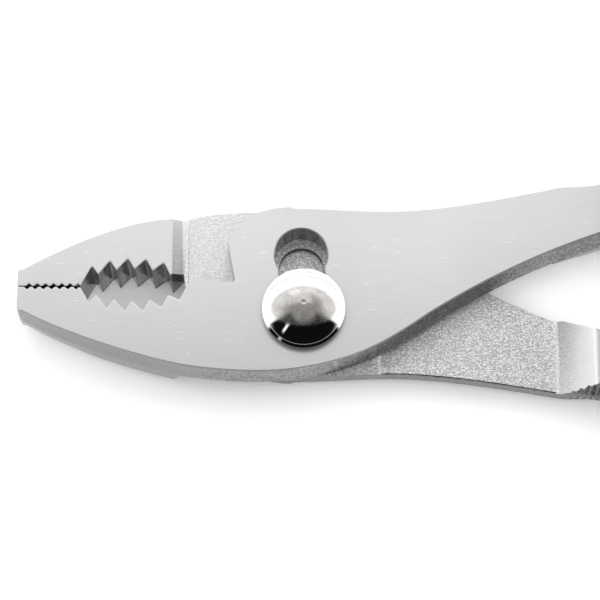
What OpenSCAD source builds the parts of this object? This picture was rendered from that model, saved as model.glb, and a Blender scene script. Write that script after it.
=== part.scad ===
// Slip joint pliers: two forged halves that cross at a pivot bolt, which slips along a slot in the
// front half. Millimetres. X runs from the jaw tip to the handles, Z up through the thickness, and
// the pivot axis is the Z axis. The pliers lie on the tail of the pivot bolt, at Z = 0.

/* [Overall] */
// Length from the jaw tip to the handle ends
overall_length = 200; // [185:1:220]
// Distance from the jaw tip back to the pivot axis
jaw_reach = 50; // [46:0.5:56]
// Thickness of the jaws and handles
thickness = 10.5; // [9:0.1:13]

/* [Jaws] */
// Depth of the lower jaw at its tip
lower_tip_depth = 4.4; // [3:0.1:6]
// Depth of the upper jaw at its tip
upper_tip_depth = 3.1; // [2.5:0.1:6]
// Depth of the lower jaw at its shoulder
lower_jaw_depth = 14.3; // [13:0.1:15]
// Depth of the upper jaw at its shoulder
upper_jaw_depth = 12.9; // [12:0.1:15]
// Angle of the lower jaw's edge where it meets the shoulder, in degrees
lower_cheek = 13; // [0:1:25]
// Angle of the joint's edge where it leaves the lower jaw's shoulder, in degrees
lower_step = 16; // [5:1:40]
// Angle of the upper jaw's edge where it meets the shoulder, in degrees
upper_cheek = 0; // [0:1:25]
// Angle of the joint's edge where it leaves the upper jaw's shoulder, in degrees
upper_step = 58; // [30:1:70]
// Rise of each jaw's underside at the tip
tip_rise = 2; // [0.5:0.1:3]
// Length of the jaw over which its underside rises
tip_run = 14; // [8:0.5:20]
// Length of the finely toothed flat at the tip
fine_length = 11; // [9:0.5:13]
// Plain land between the tip and the first fine notch
fine_lead = 1; // [0.5:0.1:2]
// Number of fine notches along each jaw
fine_count = 7; // [4:1:10]
// Depth of a fine notch
fine_depth = 0.6; // [0.3:0.05:1]

/* [Pipe grip] */
// Length of the hollow that grips pipes
grip_length = 18.3; // [16:0.1:20]
// Depth of the hollow in the lower jaw, to the deepest tooth root
lower_grip_depth = 4.6; // [3.5:0.1:6]
// Depth of the hollow in the upper jaw, to the deepest tooth root
upper_grip_depth = 5.2; // [3.5:0.1:6]
// Depth of the last root, next to the joint
grip_end_depth = 2.5; // [1.5:0.1:3.5]
// Drop below the meeting line where the hollow ends
grip_end_drop = 0.5; // [0.1:0.1:1]
// Radius of the arc that the tooth roots follow
grip_radius = 19; // [14:0.5:30]
// Distance from the start of the hollow to the first root
grip_lead = 1.6; // [1:0.1:2.2]
// How far the upper jaw's teeth sit behind the lower jaw's
grip_stagger = 0.35; // [0:0.05:0.6]
// Number of coarse teeth on each jaw
grip_count = 5; // [3:1:7]
// Height of a coarse tooth
grip_tooth = 2; // [1:0.1:2.6]

/* [Joint] */
// Distance of the pivot axis below the line where the jaws meet
pivot_drop = 4.4; // [3.5:0.1:5.5]
// Thickness of the front half's joint plate
front_plate = 5.7; // [4.5:0.1:6.5]
// Half-width of the joint at its belly
joint_depth = 15.8; // [15:0.1:18]
// Distance of the belly ahead of the pivot
belly_reach = 8; // [4:0.5:12]
// Half-width of the joint at its crown
crown_depth = 14.9; // [14:0.1:17]
// Distance of the crown ahead of the pivot
crown_reach = 2.4; // [0:0.1:4]
// Distance of the jaws' shoulders from the pivot, at the joint face
shoulder_reach = 20.6; // [20.3:0.1:24]
// Run of the sloping shoulder along the jaw
shoulder_run = 2.4; // [1.5:0.1:4]
// Radius of the hollow fillet at the foot of the shoulder
shoulder_fillet = 1.2; // [0.5:0.1:2]
// Distance of the toe of each plate from the pivot
toe_reach = 19.3; // [18:0.1:19.8]
// Height of the toe past the line where the jaws meet
toe_rise = 2; // [1:0.1:3]
// Distance of the nose of each plate from the pivot
nose_reach = 13.4; // [12:0.1:15]
// Height of the nose above the line where the jaws meet
nose_rise = 8.3; // [6:0.1:10]
// How far the foot of the nose draws back
nose_draw = 1.4; // [0:0.1:2.5]
// Height of the foot of the nose
nose_foot = 1.1; // [0.4:0.1:2]
// Length of the joint face on the handle side of the pivot
face_reach = 13; // [11:0.5:18]
// How far the web behind the joint face is relieved
web_relief = 0.6; // [0.2:0.1:1.5]
// Diameter of the two round ends of the slot
slot_d = 9.4; // [8.8:0.1:10]
// Width of the neck between the round ends
neck_w = 8.1; // [7.4:0.1:8.6]
// Travel of the bolt from one end of the slot to the other
slip_travel = 10.4; // [8:0.1:11]
// Lean of the slot towards the jaws, in degrees
slot_lean = 2.3; // [0:0.1:5]
// Half-width of the forged hollow in the back half's joint face
hollow_half_w = 3.9; // [3:0.1:4.2]
// Depth of that hollow
hollow_depth = 1.2; // [0.4:0.1:2]
// How far the hollow stops short of the slot's far end
hollow_stop = 1; // [0:0.1:3]

/* [Handles] */
// Distance of the handle's inner waist from the pivot
waist_reach = 22.3; // [18:0.1:26]
// Drop of the upper handle's inner waist below the line where the jaws meet
waist_drop = 5.8; // [3:0.1:7]
// How much deeper the lower handle's inner waist is
waist_extra = 1.5; // [0:0.1:2]
// Distance of the handle's outer waist from the pivot
neck_reach = 15; // [10:0.5:20]
// How far the outer waist is drawn in from the crown
neck_draw = 0.6; // [0:0.1:2]
// Width over both handles at their widest
handle_spread = 53.5; // [48:0.5:66]
// How much closer to the meeting line the lower handle lies there
handle_lean = 2.5; // [0:0.1:4]
// Width of one handle there
handle_w = 11.5; // [9:0.5:14]
// Distance of the widest place from the pivot
crest_reach = 100; // [85:1:110]
// How far the handle ends draw in from the widest place
end_draw = 1.6; // [0:0.1:4]
// Distance from the pivot to where a handle starts to swell to full thickness
swell_reach = 44.5; // [40:0.5:50]
// Length of that swelling
swell_run = 7; // [5:0.5:12]
// Bevel along the edges of the handles
edge_bevel = 1.2; // [0.4:0.1:2]
// Length over which that bevel fades out towards the joint
bevel_run = 7; // [3:0.5:12]

/* [Pivot bolt] */
// Diameter of the domed head
head_d = 14.4; // [12:0.1:17]
// Height of the straight rim of the head
rim_h = 1.5; // [0.8:0.1:2.5]
// Height of the dome above the rim
dome_h = 3.2; // [2:0.1:4.5]
// Bevel on the edge of the rim
rim_bevel = 0.3; // [0.1:0.05:0.5]
// Width of the ledge between the rim and the dome
rim_ledge = 0.1; // [0.05:0.05:0.3]
// Diameter of the turner's centre mark in the dome
mark_d = 0.9; // [0.5:0.1:1.5]
// Depth of the centre mark
mark_depth = 0.2; // [0.1:0.05:0.4]
// Diameter of the round journal in the back half
journal_d = 7.6; // [7:0.1:7.8]
// Diameter of the threaded tail
tail_d = 6; // [5:0.1:6.5]
// Length of tail that shows below the nut
tail_stub = 0.4; // [0.2:0.1:1]

/* [Pivot nut] */
// Width of the nut across its flats
nut_af = 12; // [10:0.1:14]
// Height of the nut
nut_h = 3; // [2:0.1:4]

/* [Clearances] */
// Gap between the closed jaws
jaw_gap = 0.16; // [0.1:0.02:0.3]
// Gap between the two joint faces
face_gap = 0.1; // [0.06:0.02:0.2]
// Gap under the bolt head and above the nut
run_gap = 0.08; // [0.04:0.02:0.15]
// Radial clearance of the bolt in the slot and in its bore
pivot_gap = 0.05; // [0.02:0.01:0.1]
// Radial clearance of the nut's thread on the tail
thread_gap = 0.02; // [0.01:0.01:0.05]

/* [Hidden] */

$fn = 96;
curve_steps = 14;
over = 1;
strip_clear = 0.2;

// Heights of the faces above the surface that the pliers lie on
nut_top = tail_stub + nut_h;
back_z = nut_top + run_gap;
front_z = back_z + thickness;
joint_z = front_z - front_plate;
head_z = front_z + run_gap;

// Notches and teeth
fine_pitch = (fine_length - fine_lead) / fine_count;
grip_start = fine_length - jaw_reach;
grip_end = grip_start + grip_length;
grip_mid = (grip_start + grip_end) / 2;
grip_pitch = grip_length / (grip_count + 0.8);
tooth_lean = 0.36;
notch_half = 0.46;
meet_y = -jaw_gap / 2;

// Places on the plan of a half, with the jaw below the meeting line and the handle above it
tail_reach = overall_length - jaw_reach;
shoulder_x = -shoulder_reach - shoulder_run;
bevel_start = swell_reach + swell_run / 2;
belly = [-belly_reach, -joint_depth];
toe = [-toe_reach, toe_rise];
nose_root = [nose_draw - nose_reach, nose_foot];
nose = [-nose_reach, nose_rise];
crown = [-crown_reach, crown_depth];
neck = [neck_reach, crown_depth - neck_draw];
upper_waist = [waist_reach, -waist_drop];
lower_waist = [waist_reach, -waist_drop - waist_extra];
upper_crest = [crest_reach, (handle_spread + handle_lean) / 2];
lower_crest = [crest_reach, (handle_spread - handle_lean) / 2];
end_r = handle_w / 2;

slip = slip_travel * [-sin(slot_lean), cos(slot_lean)];
hollow_travel = slip_travel - hollow_stop;

// Points on a cubic curve from p to q, leaving at angle a and arriving at angle b, with pulls that are
// shares of its chord; the first point is left to whatever comes before the curve
function heading(a) = [cos(a), sin(a)];
function curve(p, a, pull_a, q, b, pull_b) =
    let (chord = norm(q - p), c = p + pull_a * chord * heading(a), d = q - pull_b * chord * heading(b))
    [for (i = [1 : curve_steps])
        let (t = i / curve_steps, s = 1 - t)
        s * s * s * p + 3 * s * s * t * c + 3 * s * t * t * d + t * t * t * q];

// Points on an arc about c, from angle a to angle b
function arc(c, r, a, b) =
    [for (i = [0 : curve_steps]) c + r * heading(a + (b - a) * i / curve_steps)];

// Fine notches along the flat of the jaw, from the tip
function fine_notches() =
    [for (i = [0 : fine_count - 1], step = [-notch_half, 0, notch_half])
        [fine_lead - jaw_reach + (i + 0.5 + step) * fine_pitch,
         meet_y - (step == 0 ? fine_depth : 0)]];

// Coarse teeth of the pipe grip, leaning towards the tip, with roots on an arc
function root_depth(x, deepest) = deepest - grip_radius + sqrt(pow(grip_radius, 2) - pow(x - grip_mid, 2));
function grip_teeth(deepest, stagger) =
    [for (i = [0 : grip_count], tip = [0, 1])
        let (x = grip_start + grip_lead + stagger + (i + tip * tooth_lean) * grip_pitch)
        if (i < grip_count) [x, tip * grip_tooth - root_depth(x, deepest)]
        else if (tip == 0) [x, -grip_end_depth]];

// Edge of the handle, from the outer waist round the end to the inner waist
function handle_edge(crest, waist) =
    let (end_centre = [tail_reach - end_r, crest.y - end_draw - end_r], crest_in = crest - [0, handle_w])
    concat(
        curve(neck, 0, 0.24, crest, 2, 0.35),
        curve(crest, 0, 0.4, end_centre + [0, end_r], -3, 0.27),
        arc(end_centre, end_r, 86, -86),
        curve(end_centre - [0, end_r], 177, 0.27, crest_in, 180, 0.4),
        curve(crest_in, 180, 0.11, waist, 213, 0.52));

// Plan of one half: along the teeth, round the plate and the handle, and back under the jaw. The jaw's
// edge meets its shoulder at angle cheek on the jaw's side and at angle step on the joint's side
function plan(tip_depth, jaw_depth, cheek, step, deepest, stagger, crest, waist) =
    let (shoulder = [shoulder_x, -jaw_depth], tip = [-jaw_reach, -tip_depth])
    concat(
        [[-jaw_reach, meet_y]],
        fine_notches(),
        [[grip_start, meet_y]],
        grip_teeth(deepest, stagger),
        [[grip_end, -grip_end_drop], toe],
        curve(toe, -17, 0.4, nose_root, 14, 0.27),
        [nose],
        curve(nose, 80, 0.19, crown, 0, 0.58),
        curve(crown, 0, 0.33, neck, 0, 0.33),
        handle_edge(crest, waist),
        curve(waist, 215, 0.44, belly, 180, 0.25),
        curve(belly, 180, 0.35, shoulder, 180 - step, 0.17),
        curve(shoulder, 180 - cheek, 0.3, tip, 149, 0.25));

// Solid drawn as a profile in X and Z and carried right across the pliers
module across(profile) {
    rotate([90, 0, 0])
        linear_extrude(overall_length, center = true)
            polygon(profile);
}

// Room for the other half's plate, from the jaw's shoulder to the handle's swelling
module crossing_room(plate) {
    face = plate + face_gap / 2;
    foot = face - shoulder_fillet;
    across(concat(
        [[shoulder_x, -over], [shoulder_x, 0], [-shoulder_reach - shoulder_fillet, foot]],
        arc([-shoulder_reach, foot], shoulder_fillet, 180, 90),
        [[face_reach, face], [face_reach + web_relief, face + web_relief]],
        [[swell_reach, face + web_relief], [swell_reach + swell_run, 0]],
        [[swell_reach + swell_run, -over]]));
}

// Strip that bevels the upper edge of a handle: a three-sided bar that follows the edge and runs out
// of it at both ends
module handle_bevel(crest, waist) {
    path = [for (p = handle_edge(crest, waist)) if (p.x > bevel_start) p];
    last = len(path) - 1;
    corners = [for (i = [0 : last])
        let (run = path[min(i + 1, last)] - path[max(i - 1, 0)],
             out = [-run.y, run.x] / norm(run),
             at_end = i == 0 || i == last,
             cut = at_end ? -strip_clear : edge_bevel * min(1, (path[i].x - bevel_start) / bevel_run),
             rim = path[i] + over * out,
             land = path[i] - (cut + over) * out)
        each [[rim.x, rim.y, thickness - cut - over], [rim.x, rim.y, thickness + over],
              [land.x, land.y, thickness + over]]];
    sides = [for (i = [0 : last - 1], k = [0 : 2])
        let (a = 3 * i + k, b = 3 * i + (k + 1) % 3)
        each [[a, a + 3, b + 3], [a, b + 3, b]]];
    polyhedron(corners, concat([[0, 1, 2], [3 * last + 2, 3 * last + 1, 3 * last]], sides));
}

// One forging, lying with its ground face up, cut away below for the other half's plate
module forging(outline, other_plate, crest, waist) {
    difference() {
        linear_extrude(thickness)
            polygon(outline);
        crossing_room(other_plate);
        handle_bevel(crest, waist);
        translate([0, 0, thickness])
            mirror([0, 0, 1])
                handle_bevel(crest, waist);
    }
}

// The underside of the jaws rises towards the tip
module tip_room() {
    across([[-jaw_reach - over, -over], [tip_run - jaw_reach, -over],
            [tip_run - jaw_reach, 0], [-jaw_reach, tip_rise], [-jaw_reach - over, tip_rise]]);
}

// A half set in its place: the line where the jaws meet lies above the pivot
module placed() {
    translate([0, pivot_drop, back_z])
        children();
}

// The slot's direction, from the pivot along +Y
module along_slot() {
    rotate([0, 0, slot_lean])
        children();
}

module slot(h) {
    cylinder(d = slot_d, h = h);
    translate(slip)
        cylinder(d = slot_d, h = h);
    along_slot()
        translate([-neck_w / 2, 0, 0])
            cube([neck_w, slip_travel, h]);
}

module forged_hollow() {
    along_slot() {
        translate([0, hollow_travel, 0])
            cylinder(r = hollow_half_w, h = hollow_depth + over);
        translate([-hollow_half_w, 0, 0])
            cube([2 * hollow_half_w, hollow_travel, hollow_depth + over]);
    }
}

module front_half() {
    outline = plan(lower_tip_depth, lower_jaw_depth, lower_cheek, lower_step,
                   lower_grip_depth, 0, upper_crest, upper_waist);
    color("gainsboro")
        difference() {
            placed()
                difference() {
                    forging(outline, thickness - front_plate, upper_crest, upper_waist);
                    tip_room();
                }
            translate([0, 0, joint_z - over])
                slot(thickness);
        }
}

module back_half() {
    outline = plan(upper_tip_depth, upper_jaw_depth, upper_cheek, upper_step,
                   upper_grip_depth, grip_stagger, lower_crest, lower_waist);
    color("lightgray")
        difference() {
            placed()
                difference() {
                    translate([0, 0, thickness])
                        rotate([180, 0, 0])
                            forging(outline, front_plate, lower_crest, lower_waist);
                    tip_room();
                }
            translate([0, 0, back_z - over])
                cylinder(d = journal_d + 2 * pivot_gap, h = thickness);
            translate([0, 0, joint_z - face_gap / 2 - hollow_depth])
                forged_hollow();
        }
}

module bolt_head() {
    foot_r = head_d / 2 - rim_bevel - rim_ledge;
    dome_r = (pow(foot_r, 2) + pow(dome_h, 2)) / (2 * dome_h);
    cylinder(d = head_d, h = rim_h - rim_bevel);
    translate([0, 0, rim_h - rim_bevel])
        cylinder(d1 = head_d, d2 = head_d - 2 * rim_bevel, h = rim_bevel);
    difference() {
        intersection() {
            translate([0, 0, rim_h + dome_h - dome_r])
                sphere(dome_r);
            translate([0, 0, rim_h / 2])
                cylinder(d = head_d, h = dome_h + rim_h);
        }
        translate([0, 0, rim_h + dome_h - mark_depth])
            cylinder(d = mark_d, h = mark_depth + over);
    }
}

module bolt_shank(h) {
    intersection() {
        cylinder(d = slot_d - 2 * pivot_gap, h = h);
        along_slot()
            translate([pivot_gap - neck_w / 2, -slot_d, 0])
                cube([neck_w - 2 * pivot_gap, 2 * slot_d, h]);
    }
}

module pivot_bolt() {
    color("whitesmoke") {
        cylinder(d = tail_d, h = head_z);
        translate([0, 0, nut_top])
            cylinder(d = journal_d, h = head_z - nut_top);
        translate([0, 0, joint_z])
            bolt_shank(head_z - joint_z);
        translate([0, 0, head_z])
            bolt_head();
    }
}

module pivot_nut() {
    corner_d = nut_af / cos(30);
    bevel = (corner_d - nut_af) / 2;
    color("silver")
        translate([0, 0, tail_stub])
            difference() {
                intersection() {
                    cylinder(d = corner_d, h = nut_h, $fn = 6);
                    union() {
                        cylinder(d1 = nut_af, d2 = corner_d, h = bevel);
                        translate([0, 0, bevel])
                            cylinder(d = corner_d, h = nut_h - bevel);
                    }
                }
                translate([0, 0, -over])
                    cylinder(d = tail_d + 2 * thread_gap, h = nut_h + 2 * over);
            }
}

front_half();
back_half();
pivot_bolt();
pivot_nut();
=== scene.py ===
"""Slip joint pliers: the plated pieces, their finishes and the studio they lie in.

Sizes are in millimetres and become metres where a mesh is made. A half is drawn in its own lie: X runs from
the pivot to the handle end, Y up from the line where the jaws meet, and Z up through its thickness, with the
room for the other half's plate below.
"""
from __future__ import annotations

import logging
import math
import random
from collections.abc import Iterator
from contextlib import contextmanager
from dataclasses import dataclass, replace
from enum import Enum, IntEnum
from typing import NamedTuple

import bpy
from mathutils import Matrix, Vector

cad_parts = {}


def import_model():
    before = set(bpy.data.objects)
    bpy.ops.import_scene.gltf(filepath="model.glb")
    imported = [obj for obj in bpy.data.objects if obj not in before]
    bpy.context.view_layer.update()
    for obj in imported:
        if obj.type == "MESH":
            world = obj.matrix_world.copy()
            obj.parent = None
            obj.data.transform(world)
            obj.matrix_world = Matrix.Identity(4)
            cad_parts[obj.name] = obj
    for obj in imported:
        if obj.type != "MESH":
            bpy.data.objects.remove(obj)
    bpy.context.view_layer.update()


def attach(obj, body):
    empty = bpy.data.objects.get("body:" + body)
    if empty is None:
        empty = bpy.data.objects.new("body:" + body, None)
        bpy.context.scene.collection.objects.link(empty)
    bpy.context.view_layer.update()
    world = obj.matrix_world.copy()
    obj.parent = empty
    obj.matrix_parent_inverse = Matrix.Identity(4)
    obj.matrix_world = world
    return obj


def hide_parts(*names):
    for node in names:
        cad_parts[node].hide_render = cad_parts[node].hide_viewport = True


LOG = logging.getLogger("pliers")
MM = 0.001
TINY = 1e-9
MERGE_REACH = 1e-6
MATCH_DIGITS = 7
CURVE_STEPS = 120
CORNER_SHARE = 0.45
TURN_STEPS = 96
STEEP = 0.5
UPRIGHT = 0.3

Point = tuple[float, float]
Point3 = tuple[float, float, float]
Colour = tuple[float, float, float, float]
Material = bpy.types.Material
Object = bpy.types.Object
Socket = bpy.types.NodeSocket


class Surface(IntEnum):
    """Material slots of a forged half."""

    GROUND = 0
    FORGED = 1
    TOOTH = 2
    # Painted shade: sides take a darker copy of the forged skin.
    SIDE = 3


class Side(Enum):
    """Which half of the pliers a forging is."""

    FRONT = "front_half"
    BACK = "back_half"


# Plane geometry


class Lead(NamedTuple):
    """Heading of a curve at its end in degrees, and its pull as a share of the chord."""

    angle: float
    pull: float


def heading(angle: float) -> Vector:
    """Unit vector at an angle in degrees."""
    return Vector((math.cos(math.radians(angle)), math.sin(math.radians(angle))))


def turned(points: list[Vector], angle: float) -> list[Vector]:
    """Points turned about the origin by an angle in degrees."""
    turn = Matrix.Rotation(math.radians(angle), 2)
    return [turn @ p for p in points]


def smoothstep(low: float, high: float, value: float) -> float:
    """Smooth rise from 0 at low to 1 at high."""
    t = min(1.0, max(0.0, (value - low) / (high - low)))
    return t * t * (3 - 2 * t)


def spaced(points: list[Vector], spacing: float) -> list[Vector]:
    """Lays points at an even spacing along a line.

    Args:
        points: The line's own points.
        spacing: The distance that the new points keep, about.

    Returns:
        Points from the second place to the last, so that lines can follow one another.
    """
    lengths = [0.0]
    for a, b in zip(points, points[1:]):
        lengths.append(lengths[-1] + (b - a).length)
    count = max(1, round(lengths[-1] / spacing))
    found: list[Vector] = []
    k = 0
    for i in range(1, count + 1):
        want = lengths[-1] * i / count
        while k < len(points) - 2 and lengths[k + 1] < want:
            k += 1
        share = (want - lengths[k]) / max(TINY, lengths[k + 1] - lengths[k])
        found.append(points[k].lerp(points[k + 1], share))
    return found


def curve(p: Point, leave: Lead, q: Point, reach: Lead, spacing: float) -> list[Vector]:
    """Cubic curve from p to q.

    Args:
        p: Start, which isn't among the points returned.
        leave: Heading and pull at the start.
        q: End.
        reach: Heading and pull at the end.
        spacing: Distance between the points, about.

    Returns:
        The curve's points from the second to the last.
    """
    start, end = Vector(p), Vector(q)
    chord = (end - start).length
    c = start + leave.pull * chord * heading(leave.angle)
    d = end - reach.pull * chord * heading(reach.angle)
    dense = [
        (1 - t) ** 3 * start + 3 * (1 - t) ** 2 * t * c + 3 * (1 - t) * t * t * d + t**3 * end
        for t in (i / CURVE_STEPS for i in range(CURVE_STEPS + 1))
    ]
    return spaced(dense, spacing)


def arc(centre: Point, radius: float, a: float, b: float, steps: int) -> list[Vector]:
    """Points on an arc about a centre, from angle a to angle b in degrees."""
    return [Vector(centre) + radius * heading(a + (b - a) * i / steps) for i in range(steps + 1)]


def eased(before: Vector, corner: Vector, after: Vector, radius: float, steps: int = 4) -> list[Vector]:
    """Rounds a corner between its neighbours.

    Args:
        before: Point before the corner.
        corner: The corner.
        after: Point after it.
        radius: How far the rounding reaches back from the corner, about.
        steps: Number of steps round it.

    Returns:
        Points of the rounding.
    """
    to_before, to_after = before - corner, after - corner
    reach_a = min(radius, CORNER_SHARE * to_before.length)
    reach_b = min(radius, CORNER_SHARE * to_after.length)
    a, b = corner + to_before.normalized() * reach_a, corner + to_after.normalized() * reach_b
    return [
        (1 - t) ** 2 * a + 2 * (1 - t) * t * corner + t * t * b
        for t in (i / steps for i in range(steps + 1))
    ]


@dataclass(frozen=True)
class EdgePoint:
    """Place on the edge of a half's plan, with how its side is shaped there."""

    x: float
    y: float
    draft: float = 1.0
    swell: float = 0.0
    knurl: float = 0.0
    radius: float = 0.0

    def at(self) -> Vector:
        """The place alone."""
        return Vector((self.x, self.y))


def edge_points(points: list[Vector], draft: float = 1.0, last_radius: float = 0.0) -> list[EdgePoint]:
    """Edge along a line of points, all with one draft, its last point eased by a radius."""
    found = [EdgePoint(p.x, p.y, draft=draft) for p in points]
    return found[:-1] + [replace(found[-1], radius=last_radius)]


# Bench work with operators


def clear_selection() -> None:
    """Leaves nothing selected, in object mode."""
    if bpy.context.object is not None and bpy.context.object.mode != "OBJECT":
        bpy.ops.object.mode_set(mode="OBJECT")
    bpy.ops.object.select_all(action="DESELECT")


def take_up(obj: Object) -> None:
    """Makes one object the selected and active one.

    Args:
        obj: The object.
    """
    clear_selection()
    obj.select_set(True)
    bpy.context.view_layer.objects.active = obj


@contextmanager
def whole_mesh(obj: Object) -> Iterator[None]:
    """Edit mode with all of one object's mesh selected.

    Args:
        obj: The object, which is left in object mode.
    """
    take_up(obj)
    bpy.ops.object.mode_set(mode="EDIT")
    bpy.ops.mesh.select_all(action="SELECT")
    yield
    bpy.ops.object.mode_set(mode="OBJECT")


def place_ring(obj: Object, ring: list[Point3], last: list[Vector] | None) -> list[Vector]:
    """Moves the newest ring of vertices to its place.

    Args:
        obj: The mesh object, in object mode.
        ring: Where the ring goes, in millimetres.
        last: Where the ring that it was extruded from lies, or None for the first ring.

    Returns:
        The ring's vertices as placed.
    """
    vertices = obj.data.vertices
    first = len(vertices) - len(ring)
    placed = [Vector(p) * MM for p in ring]
    if last is None:
        order = list(range(len(ring)))
    else:
        index = {tuple(round(c, MATCH_DIGITS) for c in v): i for i, v in enumerate(last)}
        now = [vertices[first + i].co for i in range(len(ring))]
        order = [index[tuple(round(c, MATCH_DIGITS) for c in v)] for v in now]
    for i, k in enumerate(order):
        vertices[first + i].co = placed[k]
    return placed


def loft(name: str, rings: list[list[Point3]]) -> Object:
    """Raises a closed solid ring by ring from a filled circle.

    Args:
        name: Name of the object.
        rings: Rings of points in millimetres, all with the same count.

    Returns:
        The solid, with its normals outwards.
    """
    clear_selection()
    bpy.ops.mesh.primitive_circle_add(vertices=len(rings[0]), radius=1.0, fill_type="NGON")
    obj = bpy.context.object
    obj.name = obj.data.name = name
    last = place_ring(obj, rings[0], None)
    for ring in rings[1:]:
        bpy.ops.object.mode_set(mode="EDIT")
        bpy.ops.mesh.extrude_region_move()
        bpy.ops.object.mode_set(mode="OBJECT")
        last = place_ring(obj, ring, last)
    with whole_mesh(obj):
        bpy.ops.mesh.normals_make_consistent(inside=False)
    return obj


def bar(name: str, profile: list[Vector], reach: float) -> Object:
    """Bar with a profile in X and Z, carried along Y from -reach to reach."""
    return loft(name, [[(p.x, y, p.y) for p in profile] for y in (-reach, reach)])


def prism(name: str, outline: list[Vector], low: float, high: float) -> Object:
    """Upright prism on an outline, from one level to another."""
    return loft(name, [[(p.x, p.y, z) for p in outline] for z in (low, high)])


def cut(obj: Object, tool: Object) -> None:
    """Cuts a tool out of an object and removes the tool.

    Args:
        obj: The object.
        tool: The closed solid to cut with.
    """
    take_up(obj)
    modifier = obj.modifiers.new("cut", "BOOLEAN")
    modifier.operation = "DIFFERENCE"
    modifier.solver = "EXACT"
    modifier.object = tool
    bpy.ops.object.modifier_apply(modifier=modifier.name)
    bpy.data.objects.remove(tool)


def turn_profile(name: str, profile: list[Point], steps: int) -> Object:
    """Spins a profile of radius and height about the Z axis.

    Args:
        name: Name of the object.
        profile: Points of radius and height in millimetres, from foot to top, in a closed ring.
        steps: Number of steps of the full turn.

    Returns:
        The turned solid, closed and with its normals outwards.
    """
    clear_selection()
    bpy.ops.mesh.primitive_circle_add(vertices=len(profile), radius=1.0, fill_type="NOTHING")
    obj = bpy.context.object
    obj.name = obj.data.name = name
    for vertex, (r, z) in zip(obj.data.vertices, profile):
        vertex.co = (r * MM, 0, z * MM)
    with whole_mesh(obj):
        bpy.ops.mesh.spin(steps=steps, angle=2 * math.pi, center=(0, 0, 0), axis=(0, 0, 1),
                          use_auto_merge=False)
        bpy.ops.mesh.select_all(action="SELECT")
        bpy.ops.mesh.remove_doubles(threshold=MERGE_REACH)
        bpy.ops.mesh.select_all(action="SELECT")
        bpy.ops.mesh.normals_make_consistent(inside=False)
    return obj


def smooth(obj: Object, angle: float) -> None:
    """Shades an object smooth, with wide faces kept flat.

    Args:
        obj: The object.
        angle: Angle in degrees from which an edge stays sharp.
    """
    take_up(obj)
    bpy.ops.object.shade_smooth_by_angle(angle=math.radians(angle))
    modifier = obj.modifiers.new("even", "WEIGHTED_NORMAL")
    modifier.keep_sharp = True
    bpy.ops.object.modifier_apply(modifier=modifier.name)


def settle(obj: Object, place: Matrix) -> None:
    """Puts an object in its place and writes that place into its mesh.

    Args:
        obj: The object.
        place: Its place in the world.
    """
    obj.matrix_world = place
    take_up(obj)
    bpy.ops.object.transform_apply(location=True, rotation=True, scale=True)


# Finishes


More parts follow.
